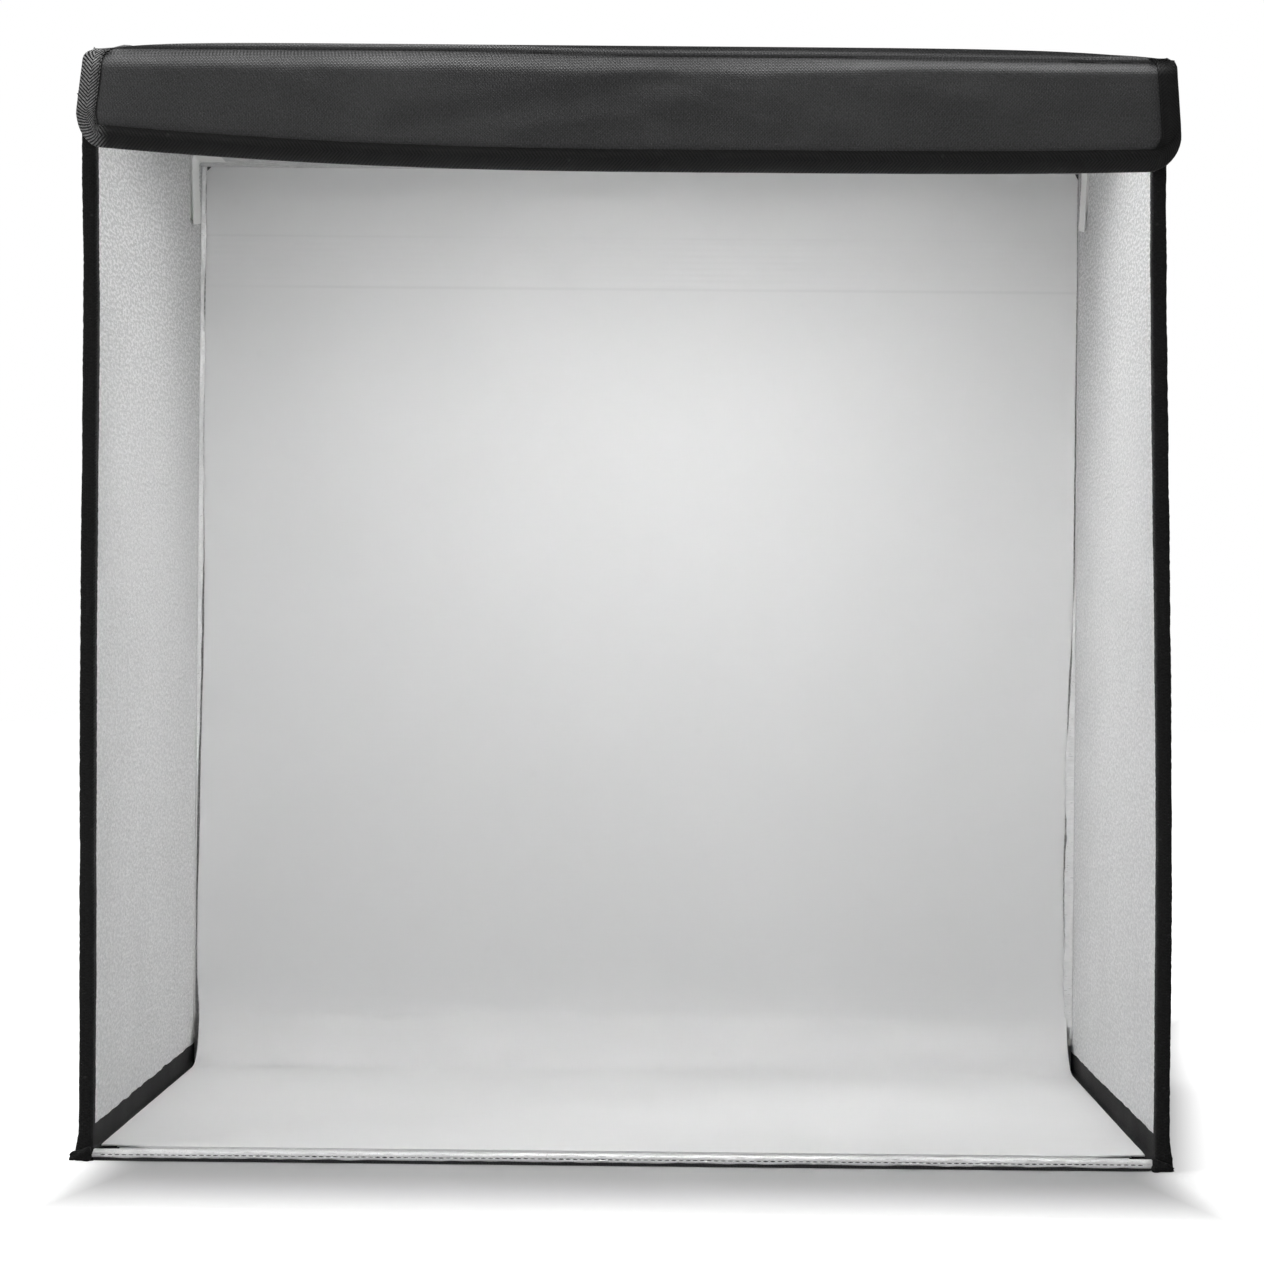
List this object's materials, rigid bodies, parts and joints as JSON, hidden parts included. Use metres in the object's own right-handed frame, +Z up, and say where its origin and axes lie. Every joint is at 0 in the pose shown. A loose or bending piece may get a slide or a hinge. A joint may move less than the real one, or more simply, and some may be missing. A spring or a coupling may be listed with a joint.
{
  "type": "folding light tent cube",
  "caption": "Folding light tent cube with hinged fabric-covered walls, open front with padded flap, white sweep backdrop and ceiling light bars.",
  "frame": {"origin": "middle of the floor panel's underside, on the surface that the tent stands on", "axes": "+Z up, the open front with its flap faces -Y, +X to the viewer's right when looking in"},
  "size_m": [0.612, 0.615, 0.6192],
  "materials": {
    "black_nylon": "woven nylon with a light sheen",
    "black_tape": "matte woven tape",
    "herringbone_tape": "herringbone woven tape",
    "panel_board": "plain board",
    "silver_lining": "pebbled silver reflective film",
    "white_backdrop": "matte white sheet",
    "white_hook_and_loop": "hook-and-loop tape",
    "light_bar_aluminium": "satin extrusion",
    "circuit_white": "white solder mask",
    "opal_diffuser": "opal",
    "end_cap_grey": "fine texture",
    "flap_foam": "soft foam"
  },
  "bodies": {
    "base": {"floor_outer_skin": "black_nylon", "floor_board": "panel_board", "floor_lining": "silver_lining", "floor_front_hem": "silver_lining", "left_hinge_tape": "black_tape", "right_hinge_tape": "black_tape", "rear_hinge_tape": "black_tape", "left_corner_ear": "black_tape", "right_corner_ear": "black_tape", "backdrop_sheet": "white_backdrop"},
    "left_wall": {"left_wall_outer_skin": "black_nylon", "left_wall_board": "panel_board", "left_wall_lining": "silver_lining", "left_wall_binding": "black_tape", "left_wall_back_hem": "silver_lining", "left_wall_loop_pad": "white_hook_and_loop"},
    "right_wall": {"right_wall_outer_skin": "black_nylon", "right_wall_board": "panel_board", "right_wall_lining": "silver_lining", "right_wall_binding": "black_tape", "right_wall_back_hem": "silver_lining", "right_wall_loop_pad": "white_hook_and_loop"},
    "back_panel": {"back_outer_skin": "black_nylon", "back_board": "panel_board", "back_lining": "silver_lining", "back_loop_strip": "white_hook_and_loop", "backdrop_hook_strip": "white_hook_and_loop", "roof_hinge_tape_back_leg": "black_nylon"},
    "top_panel": {"top_outer_skin": "black_nylon", "top_board": "panel_board", "top_lining": "silver_lining", "roof_hinge_tape_top_leg": "black_nylon", "flap_hinge_hem": "black_nylon", "left_hook_tab": "white_hook_and_loop", "right_hook_tab": "white_hook_and_loop", "left_ceiling_loop_strip": "white_hook_and_loop", "right_ceiling_loop_strip": "white_hook_and_loop", "front_light_channel": "light_bar_aluminium", "front_light_led_strip": "circuit_white", "front_light_diffuser": "opal_diffuser", "front_light_left_end_cap": "end_cap_grey", "front_light_right_end_cap": "end_cap_grey", "front_light_power_inlet": "end_cap_grey", "front_light_left_hook_pad": "white_hook_and_loop", "front_light_right_hook_pad": "white_hook_and_loop", "rear_light_channel": "light_bar_aluminium", "rear_light_led_strip": "circuit_white", "rear_light_diffuser": "opal_diffuser", "rear_light_left_end_cap": "end_cap_grey", "rear_light_right_end_cap": "end_cap_grey", "rear_light_power_inlet": "end_cap_grey", "rear_light_left_hook_pad": "white_hook_and_loop", "rear_light_right_hook_pad": "white_hook_and_loop"},
    "front_flap": {"flap_cover": "black_nylon", "flap_foam": "flap_foam", "flap_backing": "black_nylon", "flap_binding": "herringbone_tape"}
  },
  "joints": [
    {"name": "left_wall_fold", "type": "hinge", "parent": "base", "child": "left_wall", "pos_m": [-0.301, 0, 0], "axis": [0, -1, 0], "range_deg": [0, 90]},
    {"name": "right_wall_fold", "type": "hinge", "parent": "base", "child": "right_wall", "pos_m": [0.301, 0, 0], "axis": [0, 1, 0], "range_deg": [0, 90]},
    {"name": "back_panel_fold", "type": "hinge", "parent": "base", "child": "back_panel", "pos_m": [0, 0.301, 0], "axis": [-1, 0, 0], "range_deg": [0, 90], "deforming": ["backdrop_sheet"]},
    {"name": "top_panel_lift", "type": "hinge", "parent": "back_panel", "child": "top_panel", "pos_m": [0, 0.301, 0.6136], "axis": [-1, 0, 0], "range_deg": [0, 90]},
    {"name": "front_flap_lift", "type": "hinge", "parent": "top_panel", "child": "front_flap", "pos_m": [0, -0.3082, 0.6192], "axis": [-1, 0, 0], "range_deg": [0, 225]}
  ]
}
